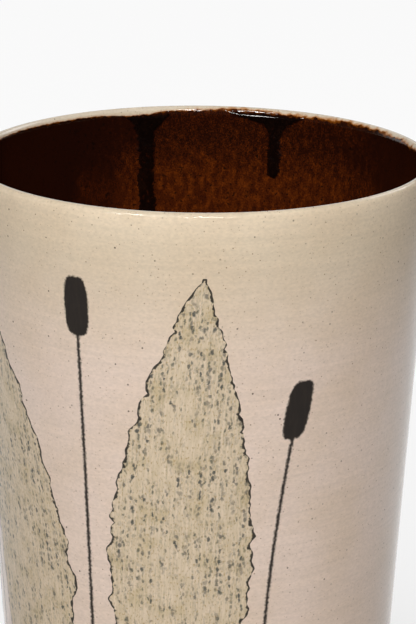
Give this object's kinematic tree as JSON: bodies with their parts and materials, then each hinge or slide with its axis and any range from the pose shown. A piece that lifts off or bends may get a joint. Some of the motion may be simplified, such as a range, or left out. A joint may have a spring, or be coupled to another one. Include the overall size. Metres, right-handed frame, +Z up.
{
  "type": "vase",
  "caption": "Wide flared stoneware vase, cream glaze outside and brown glaze inside, with cloth-pressed slip leaves and black reeds on the wall.",
  "frame": {"origin": "centre of the foot, on the surface that the vase stands on", "axes": "+Z up along the vase's axis; -Y is the side seen in the picture, +X to its right"},
  "size_m": [0.1692, 0.1692, 0.23],
  "materials": {
    "bare_stoneware": "unglazed, fired, slightly sandy",
    "cream_glaze": "satin gloss cream with fine iron specks",
    "brown_liner_glaze": "glossy dark brown, broken to orange",
    "dark_glaze_run": "glossy near-black where the glaze ran thick",
    "cloth_pressed_slip": "grey-green slip with the print of coarse cloth and a torn dark edge",
    "black_oxide": "matt black brushed oxide with soft edges"
  },
  "bodies": {
    "root": {"clay_body": "bare_stoneware", "outer_glaze": "cream_glaze", "liner_glaze": "brown_liner_glaze", "glaze_run_long": "dark_glaze_run", "glaze_run_short": "dark_glaze_run", "slip_leaf_1": "cloth_pressed_slip", "slip_leaf_2": "cloth_pressed_slip", "slip_leaf_3": "cloth_pressed_slip", "slip_leaf_4": "cloth_pressed_slip", "slip_leaf_5": "cloth_pressed_slip", "black_reed_1": "black_oxide", "black_reed_2": "black_oxide", "black_reed_3": "black_oxide", "black_reed_4": "black_oxide"}
  },
  "joints": []
}
